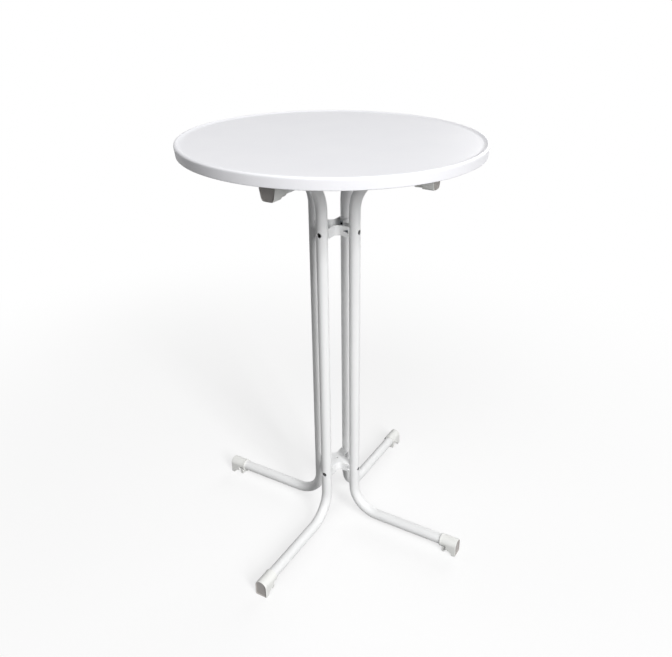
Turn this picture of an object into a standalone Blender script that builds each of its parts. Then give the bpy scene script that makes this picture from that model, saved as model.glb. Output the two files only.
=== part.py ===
"""Outdoor bar table: a round moulded top on four bent tubes tied by two cross hubs.

Each tube is foot, post and arm in one. The top sits on the arms through four saddle blocks.

Lengths are metres, +Z is up, the floor is z = 0 and the middle of the top is on the Z axis.
Each leg stands on a diagonal: front left, back left, back right and front right.
"""
import math

import bmesh
import bpy
from mathutils import Matrix, Vector

# Overall sizes
TOP_RADIUS = 0.350
TOTAL_HEIGHT = 1.070

# Clearances and the overrun of every cut
FIT_GAP = 0.0003
CUT_OVERRUN = 0.002
WELD_STEP = 0.000002

# Moulded top: sunk surface, raised rolled rim, skirt and a lip round the underside
SURFACE_SINK = 0.003
RIM_WIDTH = 0.0145
RIM_ROLL = 0.0070
BOARD_THICKNESS = 0.016
SKIRT_HEIGHT = 0.026
SKIRT_TAPER = 0.002
LIP_WIDTH = 0.007
LIP_FLARE = 0.003
LIP_ROUND = 0.0015
INSERT_DEPTH = 0.011
TOP_SEGMENTS = 72
RIM_STEPS = 8

# Bent tubes
TUBE_RADIUS = 0.014
TUBE_WALL = 0.0015
TUBE_CIRCLE = 0.056
LEG_BEND_RADIUS = 0.075
ARM_BEND_RADIUS = 0.095
LEG_AXIS_Z = 0.030
ARM_DROP = 0.068
ARM_AXIS_Z = TOTAL_HEIGHT - ARM_DROP
LEG_REACH = 0.374
ARM_REACH = 0.258
TUBE_SIDES = 16
BEND_STEPS = 6

# End caps, the same moulding at the feet and, turned over, at the arms
CAP_LENGTH = 0.048
CAP_RADIUS = 0.0165
CAP_COLLAR_RADIUS = 0.0171
CAP_COLLAR_LENGTH = 0.004
CAP_STOP_DEPTH = 0.0415
CAP_FACE_RECESS = 0.003
CAP_FACE_RIM = 0.0025
CAP_ARCH_RADIUS = 0.0130
CAP_ARCH_START = 0.0205
CAP_LUG_START = 0.006
CAP_LUG_LENGTH = 0.006
CAP_LUG_HALF_WIDTH = 0.006
CAP_LUG_FOOT = 0.003
CAP_LUG_ROOT = 0.0145
CAP_LUG_HOLE_RADIUS = 0.0016
CAP_LUG_HOLE_DROP = 0.0215
CAP_GUSSET_HALF_WIDTH = 0.0015
CAP_GUSSET_DEPTH = 0.0235
ARM_FLARE_HALF_WIDTH = 0.0210
ARM_FLARE_RISE = 0.012
ARM_FLARE_FLAT = 0.0115
ARM_FLARE_CORNER = 0.0035
CAP_SIDES = 20
ARCH_SIDES = 20

# Cross hubs: open trays with coped ends
HUB_UPPER_DROP = 0.145
HUB_UPPER_Z = ARM_AXIS_Z - HUB_UPPER_DROP
HUB_LOWER_Z = 0.168
HUB_HEIGHT = 0.025
HUB_HALF_WIDTH = 0.013
HUB_WALL = 0.002
HUB_REACH = 0.0475
HUB_FILLET = 0.012
HUB_FILLET_STEPS = 4
HUB_CENTRE_HOLE_RADIUS = 0.0025
HUB_NOTCH_START = 0.0365
HUB_NOTCH_HALF_HEIGHT = 0.0066

# Fasteners
BOLT_RADIUS = 0.003
BOLT_HEAD_RADIUS = 0.005
BOLT_HEAD_HEIGHT = 0.0042
SHANK_OVERLAP_SHARE = 0.25
BOLT_SOCKET_RADIUS = 0.0022
BOLT_SOCKET_DEPTH = 0.002
BOLT_TIP_RADIUS_POS = 0.032
ACCESS_HOLE_RADIUS = 0.006
NUT_HALF_WIDTH = 0.005
NUT_LENGTH = 0.006
BOLT_SIDES = 16
HOLE_SIDES = 12

# Saddle blocks between the arms and the top, and the bolts that go up through both
SADDLE_BEND_GAP = 0.004
SADDLE_CAP_GAP = 0.0015
SADDLE_OVERHANG = 0.004
SADDLE_START = TUBE_CIRCLE + ARM_BEND_RADIUS + SADDLE_BEND_GAP
SADDLE_STEP = ARM_REACH - CAP_LENGTH - SADDLE_CAP_GAP
SADDLE_END = ARM_REACH + SADDLE_OVERHANG
SADDLE_HALF_WIDTH = 0.017
SADDLE_DROP = 0.006
SADDLE_EDGE_ROUND = 0.002
TOP_BOLT_SHARE = 0.4
TOP_BOLT_POSITION = SADDLE_START + TOP_BOLT_SHARE * (SADDLE_STEP - SADDLE_START)
TOP_BOLT_BITE = 0.008

QUARTER = math.pi / 2
CORNERS = {
    "front_left": -3 * math.pi / 4,
    "back_left": 3 * math.pi / 4,
    "back_right": math.pi / 4,
    "front_right": -math.pi / 4,
}

WHITE_STEEL = (0.80, 0.81, 0.82, 1.0)
WHITE_PLASTIC = (0.78, 0.79, 0.79, 1.0)
WHITE_TOP = (0.83, 0.83, 0.84, 1.0)
BLACK_STEEL = (0.02, 0.02, 0.022, 1.0)
ZINC_STEEL = (0.55, 0.56, 0.57, 1.0)


def clear_scene():
    """Remove everything that the start file brings in."""
    for old in list(bpy.data.objects):
        bpy.data.objects.remove(old, do_unlink=True)


def new_collection(name):
    """Make a collection in the scene."""
    made = bpy.data.collections.new(name)
    bpy.context.scene.collection.children.link(made)
    return made


def material(name, colour, roughness, metallic):
    """One Principled material per piece."""
    made = bpy.data.materials.new(name)
    made.use_nodes = True
    shader = made.node_tree.nodes["Principled BSDF"]
    shader.inputs["Base Color"].default_value = colour
    shader.inputs["Roughness"].default_value = roughness
    shader.inputs["Metallic"].default_value = metallic
    return made


def object_from_bmesh(name, shape, collection):
    """Turn a bmesh into an object of the given collection."""
    mesh = bpy.data.meshes.new(name)
    shape.to_mesh(mesh)
    shape.free()
    made = bpy.data.objects.new(name, mesh)
    collection.objects.link(made)
    return made


def cutter_style(made):
    """A cutting or joining body is kept, drawn as wire and never rendered."""
    made.hide_render = True
    made.display_type = "WIRE"
    return made


def box(name, low, high, collection, place=Matrix.Identity(4)):
    """A box between two corners, moved by a placing matrix."""
    low = Vector(low)
    high = Vector(high)
    size = high - low
    shape = bmesh.new()
    fill = Matrix.Translation((low + high) / 2) @ Matrix.Diagonal((size.x, size.y, size.z, 1.0))
    bmesh.ops.create_cube(shape, size=1.0, matrix=place @ fill)
    return object_from_bmesh(name, shape, collection)


def prism(name, outline, direction, place, collection):
    """A flat outline of placed points carried along a direction, as a closed body."""
    shape = bmesh.new()
    near = [shape.verts.new(place @ Vector(point)) for point in outline]
    far = [shape.verts.new(place @ (Vector(point) + Vector(direction))) for point in outline]
    shape.faces.new(near)
    shape.faces.new(far)
    for number in range(len(outline)):
        after = (number + 1) % len(outline)
        shape.faces.new((near[number], near[after], far[after], far[number]))
    bmesh.ops.recalc_face_normals(shape, faces=shape.faces)
    return object_from_bmesh(name, shape, collection)


def rod(name, radius, start, end, sides, collection, place=Matrix.Identity(4), tip_radius=None):
    """A cylinder, or a cone when a tip radius is given, from one point to another."""
    start = Vector(start)
    end = Vector(end)
    along = end - start
    turn = along.to_track_quat("Z", "Y").to_matrix().to_4x4()
    shape = bmesh.new()
    bmesh.ops.create_cone(
        shape,
        cap_ends=True,
        cap_tris=False,
        segments=sides,
        radius1=radius,
        radius2=radius if tip_radius is None else tip_radius,
        depth=along.length,
        matrix=place @ Matrix.Translation((start + end) / 2) @ turn,
    )
    return object_from_bmesh(name, shape, collection)


def boolean(target, tool, operation):
    """Add an exact Boolean to a piece."""
    step = target.modifiers.new(tool.name, "BOOLEAN")
    step.operation = operation
    step.solver = "EXACT"
    step.object = tool
    cutter_style(tool)


def cut(target, *tools):
    """Take bodies away from a piece."""
    for tool in tools:
        boolean(target, tool, "DIFFERENCE")


def join(target, *tools):
    """Add bodies to a piece."""
    for tool in tools:
        boolean(target, tool, "UNION")


def baked_mesh(source, name):
    """The evaluated shape of an object as a mesh of its own, with doubles welded."""
    bpy.context.view_layer.update()
    graph = bpy.context.evaluated_depsgraph_get()
    mesh = bpy.data.meshes.new_from_object(source.evaluated_get(graph))
    mesh.name = name
    shape = bmesh.new()
    shape.from_mesh(mesh)
    bmesh.ops.remove_doubles(shape, verts=shape.verts, dist=WELD_STEP)
    shape.to_mesh(mesh)
    shape.free()
    return mesh


def finish(made, sharp_degrees=32.0):
    """Smooth the round faces and keep the real edges sharp."""
    made.data.shade_smooth()
    made.data.set_sharp_from_angle(angle=math.radians(sharp_degrees))


def remove_objects(things):
    """Take helper bodies out of the file."""
    for thing in things:
        bpy.data.objects.remove(thing, do_unlink=True)


def corner_turn(angle):
    """Turn about Z so that +X points along a leg."""
    return Matrix.Rotation(angle, 4, "Z")


# Moulded top
def underside_z():
    """Height of the flat underside of the top."""
    return TOTAL_HEIGHT - SURFACE_SINK - BOARD_THICKNESS


def top_profile():
    """Half section of the top: across the surface, over the rim, down the skirt and back in."""
    surface = TOTAL_HEIGHT - SURFACE_SINK
    skirt_foot = TOTAL_HEIGHT - SKIRT_HEIGHT
    roll_x = TOP_RADIUS - RIM_ROLL
    roll_z = TOTAL_HEIGHT - RIM_ROLL
    points = [(0.0, surface), (TOP_RADIUS - RIM_WIDTH, surface)]
    for step in range(RIM_STEPS + 1):
        angle = math.radians(120.0) * (1.0 - step / RIM_STEPS)
        points.append((roll_x + RIM_ROLL * math.cos(angle), roll_z + RIM_ROLL * math.sin(angle)))
    outer_foot = TOP_RADIUS - SKIRT_TAPER
    inner_foot = outer_foot - LIP_WIDTH
    points.append((outer_foot, skirt_foot + LIP_ROUND))
    points.append((outer_foot - LIP_ROUND, skirt_foot))
    points.append((inner_foot + LIP_ROUND, skirt_foot))
    points.append((inner_foot, skirt_foot + LIP_ROUND))
    points.append((inner_foot - LIP_FLARE, underside_z()))
    points.append((0.0, underside_z()))
    return points


def build_top(parts, cutters):
    """Revolve the section and sink a blind insert hole above each arm."""
    shape = bmesh.new()
    last = None
    for across, height in top_profile():
        vertex = shape.verts.new((across, 0.0, height))
        if last is not None:
            shape.edges.new((last, vertex))
        last = vertex
    blank = object_from_bmesh("top_blank", shape, cutters)
    turn = blank.modifiers.new("revolve", "SCREW")
    turn.axis = "Z"
    turn.steps = TOP_SEGMENTS
    turn.render_steps = TOP_SEGMENTS
    turn.use_merge_vertices = True
    turn.merge_threshold = WELD_STEP
    turn.use_normal_calculate = True
    mesh = baked_mesh(blank, "top_panel")
    remove_objects([blank])
    top = bpy.data.objects.new("top_panel", mesh)
    parts.objects.link(top)
    for corner, angle in CORNERS.items():
        insert = rod(
            "insert_hole_%s" % corner,
            BOLT_RADIUS + FIT_GAP,
            (TOP_BOLT_POSITION, 0.0, underside_z() - CUT_OVERRUN),
            (TOP_BOLT_POSITION, 0.0, underside_z() + INSERT_DEPTH),
            HOLE_SIDES,
            cutters,
            corner_turn(angle),
        )
        cut(top, insert)
    top.data.materials.append(material("moulded_top_white", WHITE_TOP, 0.45, 0.0))
    finish(top)
    return top


# Saddle blocks
def build_saddle_mesh(cutters):
    """A block that hugs the arm and runs on over the end cap; +X is outwards, true heights."""
    head = underside_z() - FIT_GAP
    rest = ARM_AXIS_Z + LEG_AXIS_Z + FIT_GAP
    block = box(
        "saddle_rest",
        (SADDLE_START, -SADDLE_HALF_WIDTH, rest),
        (SADDLE_END, SADDLE_HALF_WIDTH, head),
        cutters,
    )
    cheeks = box(
        "saddle_cheeks",
        (SADDLE_START, -SADDLE_HALF_WIDTH, ARM_AXIS_Z + SADDLE_DROP),
        (SADDLE_STEP, SADDLE_HALF_WIDTH, head),
        cutters,
    )
    saddle = rod(
        "saddle_groove",
        TUBE_RADIUS + FIT_GAP,
        (SADDLE_START - CUT_OVERRUN, 0.0, ARM_AXIS_Z),
        (SADDLE_STEP + CUT_OVERRUN, 0.0, ARM_AXIS_Z),
        TUBE_SIDES,
        cutters,
    )
    hole = rod(
        "saddle_hole",
        BOLT_RADIUS + FIT_GAP,
        (TOP_BOLT_POSITION, 0.0, ARM_AXIS_Z),
        (TOP_BOLT_POSITION, 0.0, head + CUT_OVERRUN),
        HOLE_SIDES,
        cutters,
    )
    join(block, cheeks)
    block_mesh = baked_mesh(block, "saddle_body")
    remove_objects([block, cheeks])
    body = bpy.data.objects.new("saddle_body", block_mesh)
    cutters.objects.link(body)
    edges = body.modifiers.new("mould_round", "BEVEL")
    edges.width = SADDLE_EDGE_ROUND
    edges.segments = 2
    edges.limit_method = "ANGLE"
    cut(body, saddle, hole)
    mesh = baked_mesh(body, "saddle_block")
    remove_objects([body, saddle, hole])
    return mesh


# Bent tubes
def tube_path():
    """Centre line of a tube in its own plane: leg, lower bend, post, upper bend, arm."""
    leg_end = LEG_REACH - CAP_LENGTH + CAP_STOP_DEPTH - FIT_GAP
    arm_end = ARM_REACH - CAP_LENGTH + CAP_STOP_DEPTH - FIT_GAP
    points = [(leg_end, LEG_AXIS_Z)]
    for step in range(BEND_STEPS + 1):
        angle = -QUARTER - QUARTER * step / BEND_STEPS
        points.append((
            TUBE_CIRCLE + LEG_BEND_RADIUS + LEG_BEND_RADIUS * math.cos(angle),
            LEG_AXIS_Z + LEG_BEND_RADIUS + LEG_BEND_RADIUS * math.sin(angle),
        ))
    for step in range(BEND_STEPS + 1):
        angle = 2 * QUARTER - QUARTER * step / BEND_STEPS
        points.append((
            TUBE_CIRCLE + ARM_BEND_RADIUS + ARM_BEND_RADIUS * math.cos(angle),
            ARM_AXIS_Z - ARM_BEND_RADIUS + ARM_BEND_RADIUS * math.sin(angle),
        ))
    points.append((arm_end, ARM_AXIS_Z))
    return points


def swept(name, path, radius, collection):
    """A round bar along a flat path, as a closed mesh."""
    curve = bpy.data.curves.new(name, "CURVE")
    curve.dimensions = "3D"
    curve.bevel_depth = radius
    curve.bevel_resolution = TUBE_SIDES // 4 - 1
    curve.use_fill_caps = True
    spline = curve.splines.new("POLY")
    spline.points.add(len(path) - 1)
    for point, (across, height) in zip(spline.points, path):
        point.co = (across, 0.0, height, 1.0)
    line = bpy.data.objects.new(name + "_line", curve)
    collection.objects.link(line)
    mesh = baked_mesh(line, name)
    made = bpy.data.objects.new(name, mesh)
    collection.objects.link(made)
    made.matrix_world = line.matrix_world
    remove_objects([line])
    return made


def hole_pair(label, axis, seat_side, open_side, cutters):
    """A bolt hole in the wall that takes the head and a wide hole in the wall across from it."""
    return [
        rod("tube_hole_" + label, BOLT_RADIUS + FIT_GAP, axis, seat_side, HOLE_SIDES, cutters),
        rod("tube_access_" + label, ACCESS_HOLE_RADIUS, axis, open_side, BOLT_SIDES, cutters),
    ]


def build_tube_mesh(cutters):
    """Outer bar less the bore and the bolt holes, in the plane of +X."""
    path = tube_path()
    outer = swept("tube_outer", path, TUBE_RADIUS, cutters)
    inner_path = list(path)
    inner_path[0] = (path[0][0] + CUT_OVERRUN, path[0][1])
    inner_path[-1] = (path[-1][0] + CUT_OVERRUN, path[-1][1])
    bore = swept("tube_bore", inner_path, TUBE_RADIUS - TUBE_WALL, cutters)
    tools = [bore]
    for level, height in (("lower", HUB_LOWER_Z), ("upper", HUB_UPPER_Z)):
        axis = Vector((TUBE_CIRCLE, 0.0, height))
        through = Vector((TUBE_RADIUS + CUT_OVERRUN, 0.0, 0.0))
        tools += hole_pair(level, axis, axis - through, axis + through, cutters)
    axis = Vector((TOP_BOLT_POSITION, 0.0, ARM_AXIS_Z))
    through = Vector((0.0, 0.0, TUBE_RADIUS + CUT_OVERRUN))
    tools += hole_pair("arm", axis, axis + through, axis - through, cutters)
    cut(outer, *tools)
    mesh = baked_mesh(outer, "leg_tube")
    remove_objects([outer] + tools)
    return mesh


# End caps
def foot_block(cutters):
    """The block under a foot cap: plain sides down to the floor."""
    return box(
        "cap_block",
        (CAP_ARCH_START, -CAP_RADIUS, -LEG_AXIS_Z),
        (CAP_LENGTH, CAP_RADIUS, 0.0),
        cutters,
    )


def arm_block(cutters):
    """The block of an arm cap: flat across the side away from the top, and wider towards the top."""
    half_section = [
        (ARM_FLARE_FLAT, CAP_COLLAR_RADIUS),
        (CAP_RADIUS - ARM_FLARE_CORNER / 4, CAP_RADIUS - ARM_FLARE_CORNER),
        (ARM_FLARE_HALF_WIDTH, -ARM_FLARE_RISE),
        (ARM_FLARE_HALF_WIDTH, -LEG_AXIS_Z),
    ]
    section = half_section + [(-aside, height) for aside, height in reversed(half_section)]
    outline = [(CAP_ARCH_START, aside, height) for aside, height in section]
    along = (CAP_LENGTH - CAP_ARCH_START, 0.0, 0.0)
    return prism("cap_block", outline, along, Matrix.Identity(4), cutters)


def build_cap_mesh(block_of, cutters):
    """Sleeve, arched block, lug and gusset; +X is outwards, the tube axis is the X axis."""
    cap = rod("cap_sleeve", CAP_RADIUS, (0.0, 0.0, 0.0), (CAP_LENGTH, 0.0, 0.0), CAP_SIDES, cutters)
    collar = rod(
        "cap_collar",
        CAP_COLLAR_RADIUS,
        (0.0, 0.0, 0.0),
        (CAP_COLLAR_LENGTH, 0.0, 0.0),
        CAP_SIDES,
        cutters,
    )
    block = block_of(cutters)
    arch = rod(
        "cap_arch",
        CAP_ARCH_RADIUS,
        (CAP_ARCH_START, -ARM_FLARE_HALF_WIDTH - CUT_OVERRUN, -LEG_AXIS_Z),
        (CAP_ARCH_START, ARM_FLARE_HALF_WIDTH + CUT_OVERRUN, -LEG_AXIS_Z),
        ARCH_SIDES,
        cutters,
    )
    cut(block, arch)
    block_mesh = baked_mesh(block, "cap_block_cut")
    remove_objects([block])
    block = bpy.data.objects.new("cap_block_cut", block_mesh)
    cutters.objects.link(block)
    lug = box(
        "cap_lug",
        (CAP_LUG_START, -CAP_LUG_HALF_WIDTH, -LEG_AXIS_Z + CAP_LUG_FOOT),
        (CAP_LUG_START + CAP_LUG_LENGTH, CAP_LUG_HALF_WIDTH, -CAP_LUG_ROOT),
        cutters,
    )
    gusset = box(
        "cap_gusset",
        (0.0, -CAP_GUSSET_HALF_WIDTH, -CAP_GUSSET_DEPTH),
        (CAP_LUG_START + CAP_LUG_LENGTH / 2, CAP_GUSSET_HALF_WIDTH, -CAP_LUG_ROOT),
        cutters,
    )
    lug_hole = rod(
        "cap_lug_hole",
        CAP_LUG_HOLE_RADIUS,
        (CAP_LUG_START + CAP_LUG_LENGTH / 2, -CAP_LUG_HALF_WIDTH - CUT_OVERRUN, -CAP_LUG_HOLE_DROP),
        (CAP_LUG_START + CAP_LUG_LENGTH / 2, CAP_LUG_HALF_WIDTH + CUT_OVERRUN, -CAP_LUG_HOLE_DROP),
        HOLE_SIDES,
        cutters,
    )
    bore = rod(
        "cap_bore",
        TUBE_RADIUS + FIT_GAP,
        (-CUT_OVERRUN, 0.0, 0.0),
        (CAP_STOP_DEPTH, 0.0, 0.0),
        CAP_SIDES,
        cutters,
    )
    recess_round = rod(
        "cap_recess_round",
        CAP_RADIUS - CAP_FACE_RIM,
        (CAP_LENGTH - CAP_FACE_RECESS, 0.0, 0.0),
        (CAP_LENGTH + CUT_OVERRUN, 0.0, 0.0),
        CAP_SIDES,
        cutters,
    )
    recess_box = box(
        "cap_recess_box",
        (CAP_LENGTH - CAP_FACE_RECESS, -CAP_RADIUS + CAP_FACE_RIM, -LEG_AXIS_Z + CAP_FACE_RIM),
        (CAP_LENGTH + CUT_OVERRUN, CAP_RADIUS - CAP_FACE_RIM, 0.0),
        cutters,
    )
    join(cap, collar, block, lug, gusset)
    cut(cap, bore, recess_round, recess_box, lug_hole)
    mesh = baked_mesh(cap, "end_cap")
    remove_objects([cap, collar, block, arch, lug, gusset, lug_hole, bore, recess_round, recess_box])
    return mesh


# Cross hubs
def cross_outline(half_width, reach, fillet):
    """Outline of a four-armed cross with rounded inner corners."""
    points = []
    for quarter in range(4):
        turn = Matrix.Rotation(QUARTER * quarter, 2)
        corner = [Vector((reach, -half_width)), Vector((reach, half_width))]
        centre = half_width + fillet
        for step in range(HUB_FILLET_STEPS + 1):
            angle = -QUARTER - QUARTER * step / HUB_FILLET_STEPS
            corner.append(Vector((centre + fillet * math.cos(angle), centre + fillet * math.sin(angle))))
        for point in corner:
            points.append(turn @ point)
    return points


def cross_prism(name, half_width, reach, fillet, low, high, collection):
    """A filled flat curve with a thickness, turned into a mesh between two heights."""
    curve = bpy.data.curves.new(name, "CURVE")
    curve.dimensions = "2D"
    curve.fill_mode = "BOTH"
    curve.extrude = (high - low) / 2
    outline = cross_outline(half_width, reach, fillet)
    spline = curve.splines.new("POLY")
    spline.use_cyclic_u = True
    spline.points.add(len(outline) - 1)
    for point, where in zip(spline.points, outline):
        point.co = (where.x, where.y, 0.0, 1.0)
    line = bpy.data.objects.new(name + "_line", curve)
    line.location = (0.0, 0.0, (low + high) / 2)
    collection.objects.link(line)
    mesh = baked_mesh(line, name)
    mesh.transform(line.matrix_world)
    made = bpy.data.objects.new(name, mesh)
    collection.objects.link(made)
    remove_objects([line])
    return made


def side_notch(name, side, place, cutters):
    """A lying V cut into the end of one side wall of a hub arm."""
    inner = side * (HUB_HALF_WIDTH - HUB_WALL - FIT_GAP)
    through = side * (HUB_WALL + FIT_GAP + CUT_OVERRUN)
    mouth = HUB_REACH + CUT_OVERRUN
    outline = [
        (HUB_NOTCH_START, inner, 0.0),
        (mouth, inner, HUB_NOTCH_HALF_HEIGHT),
        (mouth, inner, -HUB_NOTCH_HALF_HEIGHT),
    ]
    return prism(name, outline, (0.0, through, 0.0), place, cutters)


def build_hub_mesh(cutters):
    """Cross tray, open at the top, coped round four tubes that stand on +X, +Y, -X and -Y."""
    half = HUB_HEIGHT / 2
    hub = cross_prism("hub_blank", HUB_HALF_WIDTH, HUB_REACH, HUB_FILLET, -half, half, cutters)
    tray = cross_prism(
        "hub_tray",
        HUB_HALF_WIDTH - HUB_WALL,
        TUBE_CIRCLE,
        HUB_FILLET + HUB_WALL,
        -half + HUB_WALL,
        half + CUT_OVERRUN,
        cutters,
    )
    walls = []
    copes = []
    for quarter in range(4):
        place = corner_turn(QUARTER * quarter)
        foot = Vector((TUBE_CIRCLE, 0.0, -half - CUT_OVERRUN))
        head = Vector((TUBE_CIRCLE, 0.0, half + CUT_OVERRUN + CUT_OVERRUN))
        walls.append(rod(
            "hub_end_%d" % quarter,
            TUBE_RADIUS + FIT_GAP + HUB_WALL,
            foot,
            head,
            TUBE_SIDES,
            cutters,
            place,
        ))
        copes.append(rod(
            "hub_cope_%d" % quarter,
            TUBE_RADIUS + FIT_GAP,
            foot,
            head,
            TUBE_SIDES,
            cutters,
            place,
        ))
        copes.append(rod(
            "hub_hole_%d" % quarter,
            BOLT_RADIUS + FIT_GAP,
            (HUB_HALF_WIDTH, 0.0, 0.0),
            (TUBE_CIRCLE, 0.0, 0.0),
            HOLE_SIDES,
            cutters,
            place,
        ))
        for side in (-1, 1):
            copes.append(side_notch("hub_notch_%d" % quarter, side, place, cutters))
    cut(tray, *walls)
    tray_mesh = baked_mesh(tray, "hub_tray_cut")
    remove_objects([tray] + walls)
    tray = bpy.data.objects.new("hub_tray_cut", tray_mesh)
    cutters.objects.link(tray)
    centre = rod(
        "hub_centre_hole",
        HUB_CENTRE_HOLE_RADIUS,
        (0.0, 0.0, -half - CUT_OVERRUN),
        (0.0, 0.0, 0.0),
        HOLE_SIDES,
        cutters,
    )
    cut(hub, tray, centre, *copes)
    mesh = baked_mesh(hub, "cross_hub")
    remove_objects([hub, tray, centre] + copes)
    return mesh


# Fasteners, each along its own +X with the tube axis at the origin
def build_bolt_mesh(name, tip, cutters):
    """Socket head that sits inside the tube, and a plain shank that ends at the given tip."""
    bore_radius = (TUBE_RADIUS - TUBE_WALL) * math.cos(math.pi / TUBE_SIDES)
    seat = FIT_GAP - math.sqrt(bore_radius ** 2 - BOLT_HEAD_RADIUS ** 2)
    head = rod(
        "head",
        BOLT_HEAD_RADIUS,
        (seat, 0.0, 0.0),
        (seat + BOLT_HEAD_HEIGHT, 0.0, 0.0),
        BOLT_SIDES,
        cutters,
    )
    shank = rod(
        "shank",
        BOLT_RADIUS,
        (tip, 0.0, 0.0),
        (seat + BOLT_HEAD_HEIGHT * SHANK_OVERLAP_SHARE, 0.0, 0.0),
        BOLT_SIDES,
        cutters,
    )
    socket = rod(
        "socket",
        BOLT_SOCKET_RADIUS,
        (seat + BOLT_HEAD_HEIGHT - BOLT_SOCKET_DEPTH, 0.0, 0.0),
        (seat + BOLT_HEAD_HEIGHT + CUT_OVERRUN, 0.0, 0.0),
        6,
        cutters,
    )
    join(head, shank)
    cut(head, socket)
    mesh = baked_mesh(head, name)
    remove_objects([head, shank, socket])
    return mesh


def build_nut_mesh(cutters):
    """A square nut that sits against the inside of a hub end."""
    outer = -TUBE_RADIUS - FIT_GAP - HUB_WALL - FIT_GAP
    nut = box(
        "nut",
        (outer - NUT_LENGTH, -NUT_HALF_WIDTH, -NUT_HALF_WIDTH),
        (outer, NUT_HALF_WIDTH, NUT_HALF_WIDTH),
        cutters,
    )
    hole = rod(
        "nut_hole",
        BOLT_RADIUS + FIT_GAP,
        (outer - NUT_LENGTH - CUT_OVERRUN, 0.0, 0.0),
        (outer + CUT_OVERRUN, 0.0, 0.0),
        HOLE_SIDES,
        cutters,
    )
    cut(nut, hole)
    mesh = baked_mesh(nut, "square_nut")
    remove_objects([nut, hole])
    return mesh


def place_copy(name, mesh, matrix, parts, finish_of):
    """Put a copy of a shape at its place, with its own mesh and material."""
    made = bpy.data.objects.new(name, mesh.copy())
    made.data.name = name
    parts.objects.link(made)
    made.matrix_world = matrix
    label, colour, roughness, metallic = finish_of
    made.data.materials.clear()
    made.data.materials.append(material(label + "_" + name, colour, roughness, metallic))
    finish(made)
    return made


def main():
    """Build every piece of the table."""
    clear_scene()
    parts = new_collection("outdoor_bar_table")
    cutters = new_collection("cutters")
    cutters.hide_render = True

    build_top(parts, cutters)

    steel = ("powder_coated_steel", WHITE_STEEL, 0.35, 0.0)
    plastic = ("moulded_plastic", WHITE_PLASTIC, 0.5, 0.0)
    black = ("black_steel", BLACK_STEEL, 0.4, 0.6)
    zinc = ("zinc_plated_steel", ZINC_STEEL, 0.35, 0.9)

    tube = build_tube_mesh(cutters)
    foot_cap = build_cap_mesh(foot_block, cutters)
    arm_cap = build_cap_mesh(arm_block, cutters)
    saddle = build_saddle_mesh(cutters)
    hub = build_hub_mesh(cutters)
    hub_bolt = build_bolt_mesh("hub_bolt", BOLT_TIP_RADIUS_POS - TUBE_CIRCLE, cutters)
    top_bolt_tip = ARM_AXIS_Z - underside_z() - TOP_BOLT_BITE
    top_bolt = build_bolt_mesh("top_bolt", top_bolt_tip, cutters)
    nut = build_nut_mesh(cutters)

    flip = Matrix.Rotation(math.pi, 4, "X")
    to_corner = corner_turn(QUARTER / 2)
    place_copy("hub_upper", hub, Matrix.Translation((0.0, 0.0, HUB_UPPER_Z)) @ to_corner, parts, steel)
    place_copy("hub_lower", hub, Matrix.Translation((0.0, 0.0, HUB_LOWER_Z)) @ flip @ to_corner, parts, steel)

    down = Matrix.Rotation(QUARTER, 4, "Y")
    for corner, angle in CORNERS.items():
        turn = corner_turn(angle)
        place_copy("leg_tube_" + corner, tube, turn, parts, steel)
        foot = turn @ Matrix.Translation((LEG_REACH - CAP_LENGTH, 0.0, LEG_AXIS_Z))
        arm = turn @ Matrix.Translation((ARM_REACH - CAP_LENGTH, 0.0, ARM_AXIS_Z)) @ flip
        place_copy("foot_cap_" + corner, foot_cap, foot, parts, plastic)
        place_copy("arm_cap_" + corner, arm_cap, arm, parts, plastic)
        for level, height in (("upper", HUB_UPPER_Z), ("lower", HUB_LOWER_Z)):
            on_post = turn @ Matrix.Translation((TUBE_CIRCLE, 0.0, height))
            label = "_%s_%s" % (level, corner)
            place_copy("hub_bolt" + label, hub_bolt, on_post, parts, black)
            place_copy("hub_nut" + label, nut, on_post, parts, zinc)
        place_copy("saddle_block_" + corner, saddle, turn, parts, plastic)
        under_arm = turn @ Matrix.Translation((TOP_BOLT_POSITION, 0.0, ARM_AXIS_Z)) @ down
        place_copy("top_bolt_" + corner, top_bolt, under_arm, parts, black)


main()
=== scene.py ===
# %% [markdown]
# # An outdoor bar table, piece by piece
#
# The real table is a round moulded top, 700 mm across and 1070 mm off the floor, on four bent
# steel tubes. Each tube is foot, post and arm in one, and two small cross-shaped hubs hold the
# posts together. Plastic end caps close the tubes, and moulded blocks sit between arms and top.
#
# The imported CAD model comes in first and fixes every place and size. Each surface made here goes
# where its CAD solid is and takes over from it.

# %% The frame
import math

import bmesh
import bpy
import numpy as np
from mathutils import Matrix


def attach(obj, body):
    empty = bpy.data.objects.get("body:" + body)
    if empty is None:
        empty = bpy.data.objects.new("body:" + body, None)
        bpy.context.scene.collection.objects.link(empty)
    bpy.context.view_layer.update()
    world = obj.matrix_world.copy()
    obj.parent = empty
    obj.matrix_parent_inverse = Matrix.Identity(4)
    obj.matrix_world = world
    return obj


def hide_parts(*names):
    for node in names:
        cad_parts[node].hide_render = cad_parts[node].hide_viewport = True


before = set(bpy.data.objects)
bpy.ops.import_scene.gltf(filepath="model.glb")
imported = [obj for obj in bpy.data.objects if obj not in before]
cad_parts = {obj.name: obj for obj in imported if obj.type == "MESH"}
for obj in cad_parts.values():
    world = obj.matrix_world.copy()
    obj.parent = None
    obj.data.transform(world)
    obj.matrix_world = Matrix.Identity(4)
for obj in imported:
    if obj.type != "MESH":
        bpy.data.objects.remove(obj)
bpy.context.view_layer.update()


# %% [markdown]
# ## The camera
#
# The photograph was taken from a little above the top, looking down past it at the feet. The
# camera stands where the ellipse of the top, the four feet and the heights of the posts all fall
# on their places in the picture. Its three axes are worked out from a compass direction, a
# downward tilt and a small roll, and put into its matrix as columns. The lamps are aimed alike.

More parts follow.
